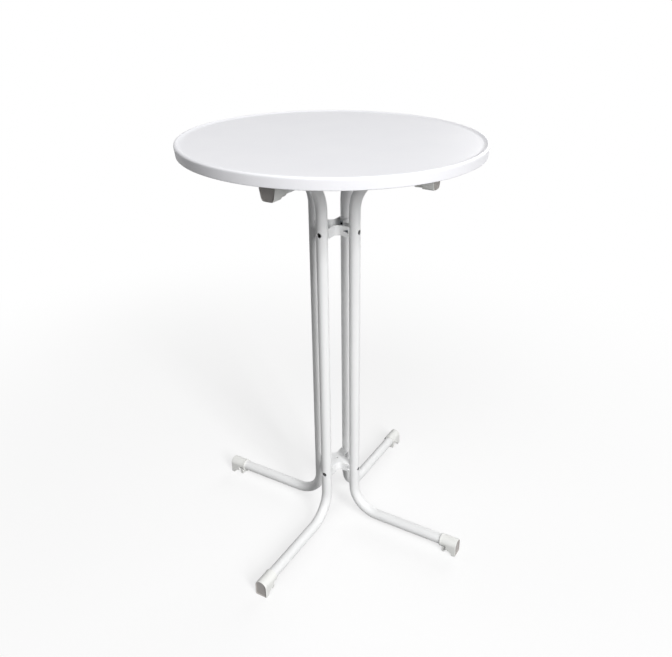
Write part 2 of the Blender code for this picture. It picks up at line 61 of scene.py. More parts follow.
# %% Camera
CAMERA_PLACE = (-0.3815, -1.5603, 1.4027)
CAMERA_HEADING = math.radians(73.51)
CAMERA_TILT = math.radians(26.375)
CAMERA_ROLL = math.radians(0.534)
CAMERA_SENSOR = 36.0
CAMERA_FOCAL = 37.75
CAMERA_SHIFT = (-0.0443, -0.0103)


def put_in_scene(name, data):
    """A new object that shows this data, linked to the scene."""
    thing = bpy.data.objects.new(name, data)
    bpy.context.scene.collection.objects.link(thing)
    return thing


def aimed(right, up, back, place):
    """Matrix of an object: its three axes and its place as columns."""
    pose = np.eye(4)
    pose[:3] = np.stack([right, up, back, place], axis=-1)
    return pose.T.tolist()


def towards(heading, rise):
    """Unit vector from a compass heading and an angle of rise."""
    return np.array([math.cos(heading) * math.cos(rise), math.sin(heading) * math.cos(rise),
                     math.sin(rise)])


def camera_axes():
    """Right, up and back: forward by heading and tilt, right level and then rolled, up across."""
    forward = towards(CAMERA_HEADING, -CAMERA_TILT)
    level = np.array([math.sin(CAMERA_HEADING), -math.cos(CAMERA_HEADING), 0.0])
    raised = np.cross(level, forward)
    right = level * math.cos(CAMERA_ROLL) + raised * math.sin(CAMERA_ROLL)
    up = raised * math.cos(CAMERA_ROLL) - level * math.sin(CAMERA_ROLL)
    return right, up, -forward


lens = bpy.data.cameras.new("table_camera")
lens.sensor_width = CAMERA_SENSOR
lens.lens = CAMERA_FOCAL
lens.shift_x, lens.shift_y = CAMERA_SHIFT
camera = put_in_scene("table_camera", lens)
camera.matrix_world = aimed(*camera_axes(), CAMERA_PLACE)
bpy.context.scene.camera = camera
print("camera at", [round(value, 3) for value in camera.matrix_world.translation])

# %% [markdown]
# ## Four corners and where things go
#
# The four tubes are the same part turned to the four diagonals. So each shape is worked out once
# in the plane of +X, with +X pointing out along a leg, and its points are turned to each corner.
# A shape here is a pair: an array of points in metres and a list of faces.

# %% Corners and placing
CORNERS = {
    "front_left": -0.75 * math.pi,
    "back_left": 0.75 * math.pi,
    "back_right": 0.25 * math.pi,
    "front_right": -0.25 * math.pi,
}


def turned(shape, axis, angle):
    """Turn a shape about X, Y or Z: the other two coordinates mix by cosine and sine."""
    points, faces = shape
    first, second = {"X": (1, 2), "Y": (2, 0), "Z": (0, 1)}[axis]
    moved = points.copy()
    moved[:, first] = math.cos(angle) * points[:, first] - math.sin(angle) * points[:, second]
    moved[:, second] = math.sin(angle) * points[:, first] + math.cos(angle) * points[:, second]
    return moved, faces


def shifted(shape, across=0.0, height=0.0):
    """Move a shape out along X and up along Z."""
    points, faces = shape
    return points + np.array([across, 0.0, height]), faces


def together(*shapes):
    """Several closed shapes as one: the points follow each other and the faces count on."""
    points = np.concatenate([shape[0] for shape in shapes])
    starts = np.cumsum([0] + [len(shape[0]) for shape in shapes])
    faces = [[number + int(start) for number in face]
             for shape, start in zip(shapes, starts) for face in shape[1]]
    return points, faces


print("corners:", ", ".join(CORNERS))

# %% [markdown]
# ## From arrays to a mesh
#
# Almost every surface below is a grid: one parameter runs along a row, the other from row to row,
# and a quad joins each point to the next in its row and to the two above. Where a grid closes on
# itself, the last column joins the first. Points that fall together, as at a pole, are merged
# before the faces are turned outwards.

# %% Grid and mesh
MERGE_WITHIN = 0.000002


def grid_quads(numbers, keep=None):
    """Quads of a table of point numbers: own, next in the row, and the two of the next row."""
    corners = [numbers[:-1, :-1], numbers[:-1, 1:], numbers[1:, 1:], numbers[1:, :-1]]
    quads = np.stack(corners, axis=-1)
    if keep is not None:
        quads = quads[keep]
    return quads.reshape(-1, 4)


def ring_numbers(rows, columns, start=0):
    """Point numbers of rows that close on themselves: the first column comes again at the end."""
    numbers = np.arange(rows * columns).reshape(rows, columns) + start
    return np.concatenate([numbers, numbers[:, :1]], axis=1)


def closed_shape(rings, again=False):
    """A skin over a stack of closed rings; where asked, the first ring comes again at the end."""
    rows, columns = rings.shape[:2]
    numbers = ring_numbers(rows, columns)
    if again:
        numbers = np.concatenate([numbers, numbers[:1]])
    return rings.reshape(-1, 3), grid_quads(numbers).tolist()


def strip_shape(sections):
    """A skin over sections that go out along one face and back along the other, ends closed."""
    rows, columns = sections.shape[:2]
    points, faces = closed_shape(sections)
    for start in (0, (rows - 1) * columns):
        faces += [[start + n, start + n + 1, start + columns - 2 - n, start + columns - 1 - n]
                  for n in range(columns // 2 - 1)]
    return points, faces


def make_piece(name, shape, node, slot, material, soft_degrees=38.0, painted_shade=None):
    """Mesh object from a shape: doubles merged, faces outwards, real edges sharp, frame calls made.

    A painted shade, where given, is one number per point, kept with the mesh for the finish to
    read: where it is 1 the finish paints the grey that stands for shade in a recess.
    """
    points, faces = shape
    mesh = bpy.data.meshes.new(name)
    mesh.from_pydata(points.tolist(), [], faces)
    # Per-point share of painted shade, kept for the finish to read.
    if painted_shade is not None:
        mesh.attributes.new("painted_shade", "FLOAT", "POINT").data.foreach_set("value", painted_shade)
    body = bmesh.new()
    body.from_mesh(mesh)
    bmesh.ops.remove_doubles(body, verts=body.verts, dist=MERGE_WITHIN)
    bmesh.ops.recalc_face_normals(body, faces=body.faces)
    body.to_mesh(mesh)
    body.free()
    mesh.shade_smooth()
    mesh.set_sharp_from_angle(angle=math.radians(soft_degrees))
    mesh.materials.append(material)
    piece = put_in_scene(name, mesh)
    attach(piece, "root")
    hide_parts(node)
    return piece


def tell(piece):
    """Print what a finished mesh is made of."""
    print("%s: %d faces" % (piece.name, len(piece.data.polygons)))


def in_corners(rows):
    """Pieces of all rows (name, shape, node, slot, material, more), turned to corner by corner."""
    pieces = [make_piece(name + corner, turned(shape, "Z", angle), node + corner, slot, material,
                         **more)
              for corner, angle in CORNERS.items()
              for name, shape, node, slot, material, more in rows]
    for piece in pieces[:len(rows)]:
        tell(piece)
    return pieces


# %% [markdown]
# ## Colour and node helpers
#
# Colours are written as sRGB hex, as a paint chart gives them, and one function turns them to the
# linear values that the shader wants. Another adds a node and sets and links what is given.
# Pattern scales come from real sizes: a noise of scale s has blobs about 1/s metres wide.

# %% Colour, scale, node
def linear(code):
    """sRGB hex to linear: each channel over 255, then the sRGB curve undone."""
    srgb = np.array([int(code[place:place + 2], 16) for place in (1, 3, 5)]) / 255.0
    value = np.where(srgb <= 0.04045, srgb / 12.92, ((srgb + 0.055) / 1.055) ** 2.4)
    return (*value.tolist(), 1.0)


def per_metre(size_mm):
    """Texture scale for a pattern whose blobs are about this many millimetres wide."""
    return 1000.0 / size_mm


def add(tree, kind, settings=None, links=None, **options):
    """One shader node: options are its own properties, settings and links go to its sockets."""
    node = tree.nodes.new("ShaderNode" + kind)
    for name, value in options.items():
        setattr(node, name, value)
    for socket, value in (settings or {}).items():
        node.inputs[socket].default_value = value
    for socket, (source, output) in (links or {}).items():
        tree.links.new(source.outputs[output], node.inputs[socket])
    return node


def new_material(name):
    """An empty node material and its node tree."""
    material = bpy.data.materials.new(name)
    material.use_nodes = True
    material.node_tree.nodes.clear()
    return material, material.node_tree


# %% [markdown]
# ## One recipe for all finishes
#
# Every finish here is one skin that is never quite even, so one function makes them all. The
# tone is a mix of two near colours by a soft noise, the roughness wanders by its spread with a
# second noise, and a bump adds a wider and a finer grain. The pattern sits in Object
# coordinates, so it keeps its real size, where an image would have to be unwrapped.

# %% Mottled finish
WANDER_SHARE = 0.37


def mottled_finish(name, light, dark, blotch_mm, grain_mm, height_mm, roughness, spread,
                   metallic=0.0, fine_mm=None, specular=0.5, painted_shade=None):
    """Node material of two tones, a roughness and up to two grains, with a painted shade's colour
    by mesh.
    """
    material, tree = new_material(name)
    place = add(tree, "TexCoord")

    def noise(size_mm, detail, rough=0.5):
        settings = {"Scale": per_metre(size_mm), "Detail": detail, "Roughness": rough}
        return add(tree, "TexNoise", settings, {"Vector": (place, "Object")}), "Fac"

    def bump(height, links):
        return add(tree, "Bump", {"Distance": height / 1000.0}, links), "Normal"

    tone = add(tree, "Mix", {6: linear(light), 7: linear(dark)},
               {"Factor": noise(blotch_mm, 3.0, 0.55)}, data_type="RGBA")
    # Painted shade: where the mesh marks its recessed faces, the tone gives way to a grey that
    # stands for their shade.
    if painted_shade is not None:
        share = add(tree, "Attribute", attribute_name="painted_shade")
        tone = add(tree, "Mix", {7: linear(painted_shade)}, {"Factor": (share, "Fac"), 6: (tone, 2)},
                   data_type="RGBA")
    gloss = add(tree, "MapRange", {"From Min": 0.25, "From Max": 0.75,
                                   "To Min": roughness - spread, "To Max": roughness + spread},
                {"Value": noise(blotch_mm * WANDER_SHARE, 2.0)})
    relief = bump(height_mm, {"Height": noise(grain_mm, 2.0)})
    if fine_mm is not None:
        fine = add(tree, "TexVoronoi", {"Scale": per_metre(fine_mm)},
                   {"Vector": (place, "Object")}, feature="SMOOTH_F1")
        relief = bump(height_mm / 2.0, {"Height": (fine, "Distance"), "Normal": relief})
    shader = add(tree, "BsdfPrincipled", {"Metallic": metallic, "Specular IOR Level": specular},
                 {"Base Color": (tone, 2), "Roughness": (gloss, "Result"), "Normal": relief})
    add(tree, "OutputMaterial", None, {"Surface": (shader, "BSDF")})
    print("finish:", name)
    return material


# %% [markdown]
# ## The finishes
#
# **Moulded top.** Polypropylene or a similar plastic, injection moulded in a lightly grained
# tool. It is a cool white, satin. The real grain is about 0.4 mm and would vanish at this
# distance, so it is drawn 2.2 mm wide and very shallow.
#
# **Powder-coated steel.** Polyester powder, sprayed and baked. As it melts it draws together
# into orange peel: low swellings 3 mm apart, 10 to 20 micrometres high, under a semi-gloss skin.
# The white is nearly neutral, a touch warmer than the top's.
#
# ** Moulded caps and blocks.** Polyethylene or polyamide from a spark-eroded tool, so the skin is
# an even fine matt grain. The shallow recess in the cap's end is painted light grey as painted
# shade.
#
# **Black oxide bolts.** Steel blackened in a hot bath, with a thin film of oil: a dark metal with
# a soft, uneven sheen.
#
# **Zinc-plated nuts.** A thin bluish zinc layer on rolled steel, with cloudy patches.
#
# The whites have half the usual specular level, because their grain breaks up the reflection.

# %% Finishes
TOP_WHITE = mottled_finish(
    "moulded_polypropylene", "#F3F3F6", "#EFEFF3", blotch_mm=90.0, grain_mm=2.2,
    height_mm=0.010, roughness=0.44, spread=0.04, fine_mm=1.1, specular=0.25)
POWDER_COAT = mottled_finish(
    "powder_coated_steel", "#F4F4F4", "#F0F1F1", blotch_mm=60.0, grain_mm=3.0,
    height_mm=0.018, roughness=0.34, spread=0.04, fine_mm=1.4, specular=0.25)
# The light grey given to the caps below is painted shade for their recessed end faces.
CAP_PLASTIC = mottled_finish(
    "moulded_polyamide", "#F3F3F0", "#EEEFEC", blotch_mm=25.0, grain_mm=1.2,
    height_mm=0.012, roughness=0.50, spread=0.05, fine_mm=0.8, specular=0.25, painted_shade="#B4B0AD")
BLACK_OXIDE = mottled_finish(
    "black_oxide_steel", "#3A3A3C", "#2B2B2D", blotch_mm=4.0, grain_mm=0.8,
    height_mm=0.004, roughness=0.42, spread=0.08, metallic=1.0)
ZINC_PLATE = mottled_finish(
    "zinc_plated_steel", "#C9CDD2", "#AEB3B9", blotch_mm=5.0, grain_mm=0.9,
    height_mm=0.004, roughness=0.34, spread=0.07, metallic=1.0)

# %% [markdown]
# ## The moulded top
#
# The top is a solid of revolution, so it is one half section carried round the axis. The section
# starts at the middle of the surface, which lies 3 mm below the highest point, climbs into the
# rolled rim with a soft foot, goes over the roll and down the skirt, turns under the lip and
# comes back along the flat underside. A section suits it best, because the rim's roundness is
# then a handful of numbers that can be compared with the photograph.

# %% Top
TOP_RADIUS = 0.350
TOP_HEIGHT = 1.070
TOP_THICKNESS = 0.016
SURFACE_SINK = 0.003
RIM_WIDTH = 0.0145
RIM_ROLL = 0.0048
SKIRT_DEPTH = 0.026
SKIRT_LEAN = 0.002
SKIRT_WALL = 0.007
LIP_ROLL = 0.0018
RIM_POWER = 1.6
SKIRT_FOOT = TOP_HEIGHT - SKIRT_DEPTH
UNDERSIDE = TOP_HEIGHT - SURFACE_SINK - TOP_THICKNESS


def arc(centre, radius, start_degrees, end_degrees, steps):
    """Points on a circle from angle to angle: centre plus radius times cosine and sine."""
    angle = np.radians(np.linspace(start_degrees, end_degrees, steps))
    x, y = centre[0] + radius * np.cos(angle), centre[1] + radius * np.sin(angle)
    return np.stack([x, y], axis=-1)


def flat_at(distances, height):
    """Points of a section that all lie at one height."""
    return np.array([(distance, height) for distance in distances])


def top_section():
    """Half section of the top as (distance from the axis, height), from the pole round to it.

    Between the flat and the roll, the height follows a power of the share of the way.
    """
    surface = TOP_HEIGHT - SURFACE_SINK
    foot = TOP_RADIUS - RIM_WIDTH
    roll = (TOP_RADIUS - RIM_ROLL, TOP_HEIGHT - RIM_ROLL)
    over = arc(roll, RIM_ROLL, 120.0, 0.0, 25)
    share = np.linspace(0.0, 1.0, 6)
    slope = np.stack([foot + (over[0, 0] - foot) * share,
                      surface + (over[0, 1] - surface) * share ** RIM_POWER], axis=-1)
    outer = TOP_RADIUS - SKIRT_LEAN
    inner = outer - SKIRT_WALL
    lip = SKIRT_FOOT + LIP_ROLL
    skirt = np.stack([np.linspace(TOP_RADIUS, outer, 6), np.linspace(roll[1], lip, 6)], axis=-1)
    return np.concatenate([
        flat_at((0.0, 0.06, 0.12, 0.18, 0.24, 0.29, foot - 0.012, foot - 0.003), surface),
        slope[:-1],
        over,
        skirt[1:-1],
        arc((outer - LIP_ROLL, lip), LIP_ROLL, 0.0, -90.0, 6),
        arc((inner + LIP_ROLL, lip), LIP_ROLL, -90.0, -180.0, 6),
        flat_at((inner - 0.0026,), UNDERSIDE - 0.0010),
        flat_at((inner - 0.0040, 0.30, 0.20, 0.10, 0.0), UNDERSIDE),
    ])


def revolve(section, columns):
    """Carry a section round Z: x and y are its distance times cosine and sine, z its height."""
    angle = np.linspace(0.0, 2.0 * np.pi, columns, endpoint=False)
    across = section[:, :1]
    height = np.broadcast_to(section[:, 1:], (len(section), columns))
    return np.stack([across * np.cos(angle), across * np.sin(angle), height], axis=-1)


table_top = make_piece("table_top", closed_shape(revolve(top_section(), 256)), "top_panel",
                       "moulded_top", TOP_WHITE)
tell(table_top)

# %% [markdown]
# ## The bent tube as a travel
#
# Each tube is 28 mm across with a 1.5 mm wall. It is bent twice, over a 75 mm former at the foot
# and a wider one, 95 mm, at the arm. Its centre line is known from how far one has travelled
# along it: a straight foot, a quarter turn up, a long post, a quarter turn out, and a short arm.
# Both bends turn the same way, so the heading only ever drops, from 180 degrees to 0. Travel
# gives the place, and a turn round the centre line gives the point on the skin.

# %% Tube centre line
TUBE_RADIUS = 0.014
TUBE_WALL = 0.0015
TUBE_CIRCLE = 0.056
LEG_BEND = 0.075
ARM_BEND = 0.095
LEG_Z = 0.030
ARM_Z = 1.002
LEG_END = 0.3672
ARM_END = 0.2512
UPPER_HUB_Z = 0.857
LOWER_HUB_Z = 0.168
TOP_BOLT_AT = 0.1764

LEG_TURN = LEG_BEND * math.pi / 2
ARM_TURN = ARM_BEND * math.pi / 2
FOOT_RUN = LEG_END - TUBE_CIRCLE - LEG_BEND
POST_RUN = ARM_Z - LEG_Z - LEG_BEND - ARM_BEND
ARM_RUN = ARM_END - TUBE_CIRCLE - ARM_BEND
POST_START = FOOT_RUN + LEG_TURN
ARM_START = POST_START + POST_RUN + ARM_TURN


def tube_line(travel):
    """Place and heading on the centre line.

    Each stretch adds its own share of the travel: straights add length along their heading, and
    a bend adds radius times sine and radius times one less cosine of the angle turned so far.
    """
    foot = np.clip(travel, 0.0, FOOT_RUN)
    low = np.clip((travel - FOOT_RUN) / LEG_BEND, 0.0, np.pi / 2)
    post = np.clip(travel - POST_START, 0.0, POST_RUN)
    high = np.clip((travel - POST_START - POST_RUN) / ARM_BEND, 0.0, np.pi / 2)
    arm = np.clip(travel - ARM_START, 0.0, None)
    across = LEG_END - foot - LEG_BEND * np.sin(low) + ARM_BEND * (1 - np.cos(high)) + arm
    height = LEG_Z + LEG_BEND * (1 - np.cos(low)) + post + ARM_BEND * np.sin(high)
    return across, height, np.pi - low - high


def tube_skin(travel, turn, depth):
    """Point on the tube: from the centre line, radius less depth, by cosine along the outer side
    of the bends' plane and by sine out of that plane."""
    across, height, heading = tube_line(travel)
    reach = TUBE_RADIUS - depth
    return np.stack([
        across + reach * np.cos(turn) * np.sin(heading),
        reach * np.sin(turn),
        height - reach * np.cos(turn) * np.cos(heading),
    ], axis=-1)


print("tube length %.0f mm" % ((ARM_START + ARM_RUN) * 1000))

# %% [markdown]
# ## Round holes in a grid
#
# Six holes are drilled in every tube: at each hub and in the arm, a small one for the bolt and,
# across from it, a wide one that lets the bolt's head and the key through. A grid has no round
# holes, so a rectangular window is left out of it, and rings of points run from the window's
# edge to the hole's circle. The same is done on the inner skin, and the two circles are joined
# through the wall. A light ring at the mouth stands for the paint's rounded edge.

# %% Rings of a hole
HOLE_CHAMFER = 0.0004
CHAMFER_SHARE = 0.3


def window_loop(numbers, low, high, left, right):
    """Point numbers round a window of the grid, once round."""
    return np.concatenate([
        numbers[low, left:right], numbers[low:high, right],
        numbers[high, right:left:-1], numbers[high:low:-1, left],
    ])


def hole_rings(around, centre, radius):
    """Rings from a window to a drilled hole, through the wall and out to the inner window.

    Each window point sees the hole's centre under an angle. The circle's point at that angle has
    travel radius times cosine, and turn the arc sine of radius times sine over the skin's radius.
    """
    travel, turn = around[:, 0], around[:, 1]
    angle = np.arctan2((turn - centre[1]) * TUBE_RADIUS, travel - centre[0])

    def circle(size, depth):
        aside = np.arcsin(size * np.sin(angle) / (TUBE_RADIUS - depth))
        return np.stack([centre[0] + size * np.cos(angle), centre[1] + aside,
                         np.full(len(angle), depth)], axis=-1)

    mouth = circle(radius + HOLE_CHAMFER, 0.0)
    edge = np.stack([travel, turn, np.zeros(len(angle))], axis=-1)
    inner = circle(radius, TUBE_WALL)
    inner_edge = edge + [0.0, 0.0, TUBE_WALL]
    return [
        edge * 0.5 + mouth * 0.5,
        mouth,
        circle(radius + HOLE_CHAMFER * CHAMFER_SHARE, HOLE_CHAMFER * CHAMFER_SHARE),
        circle(radius, HOLE_CHAMFER),
        inner,
        inner_edge * 0.5 + inner * 0.5,
    ]


# %% [markdown]
# ## The drilled tubes
#
# The tube is kept as travel, turn and depth until its holes are in, because a window is a plain
# block of rows and columns there. The rows lie close together at the holes and in the bends.

# %% Tubes
WIDE_HOLE = 0.0060
BOLT_HOLE = 0.0033
WINDOW = 0.008
BOLT_WINDOW_SHARE = 0.6
TUBE_COLUMNS = 48
LOWER_AT = POST_START + LOWER_HUB_Z - LEG_Z - LEG_BEND
UPPER_AT = POST_START + UPPER_HUB_Z - LEG_Z - LEG_BEND
ARM_AT = ARM_START + TOP_BOLT_AT - TUBE_CIRCLE - ARM_BEND


def drilled_tube(rows, columns, holes):
    """Outer and inner skin over (travel, turn), windows opened, holes and ends joined.

    A hole is its centre, its radius, and half its window's length in travel and in columns.
    """
    turns = -np.pi / 2 + 2 * np.pi * np.arange(columns) / columns
    outer = np.stack(np.meshgrid(rows, turns, indexing="ij") + [np.zeros((len(rows), columns))],
                     axis=-1)
    count = len(rows) * columns
    skins = [ring_numbers(len(rows), columns), ring_numbers(len(rows), columns, count)]
    parameters = [outer.reshape(-1, 3), (outer + [0.0, 0.0, TUBE_WALL]).reshape(-1, 3)]
    keep = np.ones((len(rows) - 1, columns), dtype=bool)
    quads = []
    start = 2 * count
    for centre, radius, half_travel, half_columns in holes:
        ends = np.array([-half_travel, half_travel]) + centre[0] - 1e-6
        low, high = np.searchsorted(rows, ends)
        middle = int(round((centre[1] + np.pi / 2) / (2 * np.pi) * columns))
        left, right = middle - half_columns, middle + half_columns
        keep[low:high, left:right] = False
        loops = [window_loop(skin, low, high, left, right) for skin in skins]
        rings = hole_rings(parameters[0][loops[0]], centre, radius)
        parameters += rings
        length = len(loops[0])
        own = start + np.arange(len(rings) * length).reshape(-1, length)
        start += own.size
        chain = np.concatenate([loops[:1], own, loops[1:]])
        quads.append(grid_quads(np.concatenate([chain, chain[:, :1]], axis=1)))
    quads += [grid_quads(skin, keep) for skin in skins]
    quads += [grid_quads(np.stack([skins[0][end], skins[1][end]])) for end in (0, -1)]
    return tube_skin(*np.concatenate(parameters).T), np.concatenate(quads).tolist()


tube_rows = np.unique(np.round(np.concatenate([
    np.linspace(0.0, FOOT_RUN, 6),
    FOOT_RUN + np.linspace(0.0, LEG_TURN, 37),
    np.linspace(POST_START, POST_START + POST_RUN, 9),
    POST_START + POST_RUN + np.linspace(0.0, ARM_TURN, 37),
    *[place + np.linspace(-WINDOW, WINDOW, 11) for place in (LOWER_AT, UPPER_AT, ARM_AT)],
    [ARM_START + ARM_RUN],
]), 7))
tube_holes = []
for place in (LOWER_AT, UPPER_AT, ARM_AT):
    tube_holes.append(((place, 0.0), WIDE_HOLE, WINDOW, 5))
    tube_holes.append(((place, math.pi), BOLT_HOLE, WINDOW * BOLT_WINDOW_SHARE, 3))
tube_shape = drilled_tube(tube_rows, TUBE_COLUMNS, tube_holes)
in_corners([("tube_", tube_shape, "leg_tube_", "powder_coated_steel", POWDER_COAT,
             {"soft_degrees": 30.0})])

# %% [markdown]
# ## The end caps
#
# A moulding closes each of the eight tube ends. It is a sleeve with a low collar at its mouth,
# and at its end a block that comes down to the floor, cut away under the tube by a quarter of an
# ellipse. The block's end is a shallow recess, shaped like the cap's outline and sunk in a thin
# rim, and its face is painted light grey as painted shade. At the arms the cap is turned over,
# and its block is squarer and spreads from the tube.
#
# One family of outlines makes all of it: a half circle over two straight sides, with a flat
# bottom and two corner arcs. When the bottom is one radius down and the corner arcs are as large,
# the outline is a full circle. A last number squares the half circle off and spreads the sides.

# %% Cap outline
FLARE_NARROW = 0.1
FLARE_SPREAD = 0.35
FLARE_DOWN = 0.012


def cap_ring(stations):
    """Rings over (along, half width, bottom, corner, flare), once round from the right side.

    They go over the half circle, down a side, round a corner, along the bottom and up. With flare
    the half circle's power goes from 2 to 6, which squares it, and the width is multiplied by a
    factor that goes from 0.9 at the crown to 1.25 at 12 mm past the axis.
    """
    along, half, bottom, corner, flare = [column[:, None] for column in np.asarray(stations).T]
    over = np.linspace(0.0, np.pi, 25)[None, :]
    side = np.linspace(0.0, 1.0, 7)[None, 1:-1]
    bend = np.linspace(0.0, np.pi / 2, 13)[None, :]
    flat = np.linspace(0.0, 1.0, 9)[None, 1:-1]
    drop = bottom + corner
    power = 2 + 4 * flare
    crown = half * (np.abs(np.cos(over)) ** power + np.abs(np.sin(over)) ** power) ** (-1 / power)
    y = np.concatenate([
        crown * np.cos(over),
        -half + 0 * side,
        -half + corner - corner * np.cos(bend),
        (-half + corner) + 2 * (half - corner) * flat,
        half - corner + corner * np.sin(bend),
        half + 0 * side,
    ], axis=1)
    z = np.concatenate([
        crown * np.sin(over),
        drop * side,
        drop - corner * np.sin(bend),
        drop - corner + 0 * flat,
        drop - corner * np.cos(bend),
        drop * (1 - side),
    ], axis=1)
    down = np.clip((half - z) / (half + FLARE_DOWN), 0.0, 1.0)
    y *= 1 + flare * (FLARE_SPREAD * down - FLARE_NARROW)
    return np.stack([along + 0 * y, y, z], axis=-1)


# %% [markdown]
# The cap is one stack of such rings, each with its own numbers, from the bottom of the bore out
# over the mouth, along the sleeve, round the block and over the recessed end face, which carries
# the painted shade. The first rings are full circles from a small table. Along the arch only the
# bottom changes: it goes with the cosine while the place goes with the sine.

# %% Cap profile
LEG_REACH = 0.374
ARM_REACH = 0.258
CAP_LENGTH = 0.048
CAP_RADIUS = 0.0165
CAP_BORE = 0.0143
CAP_STOP = 0.0415
CAP_CORNER = 0.0014
CAP_EDGE = 0.0010
FLARE_SWELL = 0.0003
BLEND = 0.0008
ARCH_START = 0.0205
ARCH_RISE = 0.0130
ARCH_RUN = 0.0170
SLEEVE_PROFILE = (
    (CAP_STOP, 0.0), (CAP_STOP, CAP_BORE), (0.0008, CAP_BORE), (0.0, CAP_BORE + 0.0006),
    (0.0, 0.0164), (0.00015, 0.0167), (0.0005, 0.0169), (0.0034, 0.0169), (0.0039, 0.01682),
    (0.0043, 0.01662), (0.0048, CAP_RADIUS), (0.012, CAP_RADIUS),
    (ARCH_START - 0.0012, CAP_RADIUS),
)
RECESS_PROFILE = ((0.0003, 0.0012), (0.0022, 0.0014), (0.0025, 0.0016), (0.0026, 0.0021))
RECESS_DEPTH = 0.0024
RECESS_CORNER = 0.0010
RECESS_MIDDLE = (0.006, -0.014, 0.0006)
BLOCK_STRAIGHT = 0.006


def cap_stations(flare):
    """Numbers of all rings from the bore's bottom to the middle of the recess, and which carry the
    painted shade.
    """
    block = CAP_RADIUS + FLARE_SWELL * flare
    stations = [(along, radius, -radius, radius, 0.0) for along, radius in SLEEVE_PROFILE]
    for share in np.linspace(0.0, 1.0, 6)[1:]:
        stations.append((ARCH_START - BLEND * (1 - share),
                         CAP_RADIUS + share * (block - CAP_RADIUS),
                         -CAP_RADIUS + share * (-LEG_Z + ARCH_RISE + CAP_RADIUS),
                         CAP_RADIUS + share * (CAP_CORNER - CAP_RADIUS), flare * share))
    for angle in np.radians(np.linspace(0.0, 90.0, 17))[1:]:
        stations.append((ARCH_START + ARCH_RUN * math.sin(angle), block,
                         -LEG_Z + ARCH_RISE * math.cos(angle), CAP_CORNER, flare))

    def block_station(along, inset, corner):
        stations.append((along, block - inset, -LEG_Z + inset, corner, flare))

    block_station(CAP_LENGTH - BLOCK_STRAIGHT, 0.0, CAP_CORNER)
    for angle in np.radians(np.linspace(0.0, 90.0, 6)):
        inset = CAP_EDGE * (1 - math.cos(angle))
        block_station(CAP_LENGTH - CAP_EDGE + CAP_EDGE * math.sin(angle), inset,
                      CAP_CORNER - inset * 0.3)
    # The rings from here on are the recessed end face, which carries the painted shade.
    rim = len(stations)
    for depth, inset in RECESS_PROFILE:
        block_station(CAP_LENGTH - depth, inset, RECESS_CORNER)
    stations.append((CAP_LENGTH - RECESS_DEPTH, *RECESS_MIDDLE, flare))
    stations.append((CAP_LENGTH - RECESS_DEPTH, 0.0, 0.0, 0.0, flare))
    return np.array(stations), (np.arange(len(stations)) >= rim).astype(float)


# %% [markdown]
# ## Lug, gusset and the finished caps
#
# Under the sleeve hangs a lug with a cross hole, and a thin gusset braces it. Both are flat
# outlines given a thickness. The outline is carried across as rings that pull in at both sides,
# which rounds the edges, and the lug's rings end on its hole, so it is a closed ring of a shape.
# The lug is nearly as wide as the sleeve, so its top is bent to the sleeve's curve.

# %% Lug and gusset
LUG_BOX = ((0.0080, -LEG_Z + 0.0012), (0.0162, -0.0154))
LUG_HALF = 0.0125
LUG_CORNER = 0.0024
LUG_EDGE = 0.0009
LUG_HOLE = 0.0026
LUG_HOLE_Z = -0.0232
LUG_BEND = (-0.0205, 0.004)
GUSSET_BOX = ((0.0002, -0.0235), (LUG_BOX[0][0] + 0.002, -0.0150))
GUSSET_HALF = 0.0015
GUSSET_CORNER = 0.0012
GUSSET_EDGE = 0.0005


def rounded_rectangle(low, high, corner, steps):
    """Outline from corner arcs, counter-clockwise, in two coordinates."""
    centres = ((high[0] - corner, high[1] - corner), (low[0] + corner, high[1] - corner),
               (low[0] + corner, low[1] + corner), (high[0] - corner, low[1] + corner))
    return np.concatenate([arc(centre, corner, 90.0 * number, 90.0 * number + 90.0, steps)
                           for number, centre in enumerate(centres)])


def across_at(outline, aside):
    """An outline in X and Z as a ring at one place in Y."""
    return np.stack([outline[:, 0], np.full(len(outline), aside), outline[:, 1]], axis=-1)


def plate_rings(outline, middle, half, edge, inner):
    """Rings of a plate across Y, from an inner outline on one side face to that on the other.

    Near the two faces the outer outline is drawn in towards the middle by the edge rounding.
    """
    angle = np.radians(np.linspace(0.0, 90.0, 5))
    inset = edge * (1 - np.cos(angle))
    aside = half - edge + edge * np.sin(angle)
    between = np.linspace(edge - half, half - edge, 11)[1:-1]
    ray = (outline - middle) / np.linalg.norm(outline - middle, axis=-1, keepdims=True)
    inwards = np.concatenate([inset[::-1], 0 * between, inset])
    places = np.concatenate([-aside[::-1], between, aside])
    return np.stack([across_at(inner, -half),
                     *[across_at(outline - ray * inward, place)
                       for inward, place in zip(inwards, places)],
                     across_at(inner, half)])


def lug_shape():
    """Lug with a cross hole: hole edge, side face, rim, far face, and back through the hole.

    Above the hole, points rise with the distance aside as the middle of the sleeve's wall does:
    radius less the root of radius squared less distance squared.
    """
    low, high = LUG_BOX
    outline = rounded_rectangle(low, high, LUG_CORNER, 9)
    middle = np.array([(low[0] + high[0]) / 2, LUG_HOLE_Z])
    ray = outline - middle
    hole = middle + LUG_HOLE * ray / np.linalg.norm(ray, axis=-1, keepdims=True)
    rings = plate_rings(outline, middle, LUG_HALF, LUG_EDGE, hole)
    curve = -high[1] - np.sqrt(high[1] ** 2 - rings[..., 1] ** 2)
    bend_from, bend_over = LUG_BEND
    rings[..., 2] += curve * np.clip((rings[..., 2] - bend_from) / bend_over, 0.0, 1.0)
    return closed_shape(rings, again=True)


